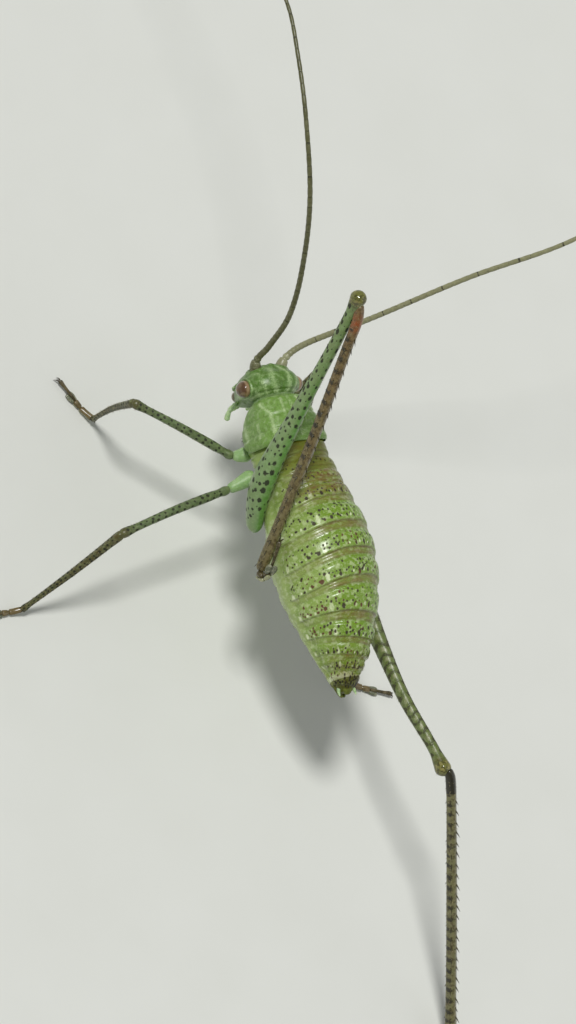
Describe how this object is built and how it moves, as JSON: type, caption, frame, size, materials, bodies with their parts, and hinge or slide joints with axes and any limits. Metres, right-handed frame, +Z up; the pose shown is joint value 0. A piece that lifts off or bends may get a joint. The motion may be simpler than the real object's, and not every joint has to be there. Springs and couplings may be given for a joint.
{
  "type": "long horned grasshopper nymph",
  "caption": "Life-size green speckled wingless bush-cricket nymph, standing, one hind leg raised over its back, long thin feelers.",
  "frame": {"origin": "middle of the whole animal's box in X and Y, at the level of its soles", "axes": "+X is the animal's right, +Y is the way it faces, +Z is up"},
  "size_m": [0.0298, 0.0488, 0.02],
  "materials": {
    "abdomen": "waxy green cuticle, speckled with dark dots, pale spots and brown bands",
    "thorax": "satin olive green cuticle with dark dots",
    "pronotum": "satin pale green cuticle with whitish lines",
    "head": "satin pale green cuticle with whitish lines",
    "eye": "smooth glossy reddish brown",
    "feeler": "satin olive brown, ringed darker and paler",
    "coxa": "pale translucent green cuticle",
    "femur": "satin grey green cuticle with rows of blackish green spots",
    "tibia": "satin brown cuticle with darker rings",
    "tarsus": "satin brown cuticle with pale pads",
    "tail": "glossy dark brown cuticle"
  },
  "bodies": {
    "root": {"abdomen_segment_1": "abdomen", "abdomen_segment_10": "abdomen", "abdomen_segment_2": "abdomen", "abdomen_segment_3": "abdomen", "abdomen_segment_4": "abdomen", "abdomen_segment_5": "abdomen", "abdomen_segment_6": "abdomen", "abdomen_segment_7": "abdomen", "abdomen_segment_8": "abdomen", "abdomen_segment_9": "abdomen", "antenna_left_base": "feeler", "antenna_left_lower": "feeler", "antenna_left_middle": "feeler", "antenna_left_upper": "feeler", "antenna_right_base": "feeler", "antenna_right_lower": "feeler", "antenna_right_middle": "feeler", "antenna_right_upper": "feeler", "cercus_left": "tail", "cercus_right": "tail", "coxa_fore_left": "coxa", "coxa_fore_right": "coxa", "coxa_hind_left": "coxa", "coxa_hind_right": "coxa", "coxa_middle_left": "coxa", "coxa_middle_right": "coxa", "eye_left": "eye", "eye_right": "eye", "femur_fore_left": "femur", "femur_fore_right": "femur", "femur_hind_left": "femur", "femur_hind_right": "femur", "femur_middle_left": "femur", "femur_middle_right": "femur", "head_capsule": "head", "maxillary_palp_left": "coxa", "maxillary_palp_right": "coxa", "mesothorax": "thorax", "metathorax": "thorax", "mouthparts": "tail", "ovipositor_bud": "tail", "pronotum": "pronotum", "tarsus_fore_left": "tarsus", "tarsus_fore_right": "tarsus", "tarsus_hind_left": "tarsus", "tarsus_hind_right": "tarsus", "tarsus_middle_left": "tarsus", "tarsus_middle_right": "tarsus", "tibia_fore_left": "tibia", "tibia_fore_right": "tibia", "tibia_hind_left": "tibia", "tibia_hind_right": "tibia", "tibia_middle_left": "tibia", "tibia_middle_right": "tibia"}
  },
  "joints": []
}
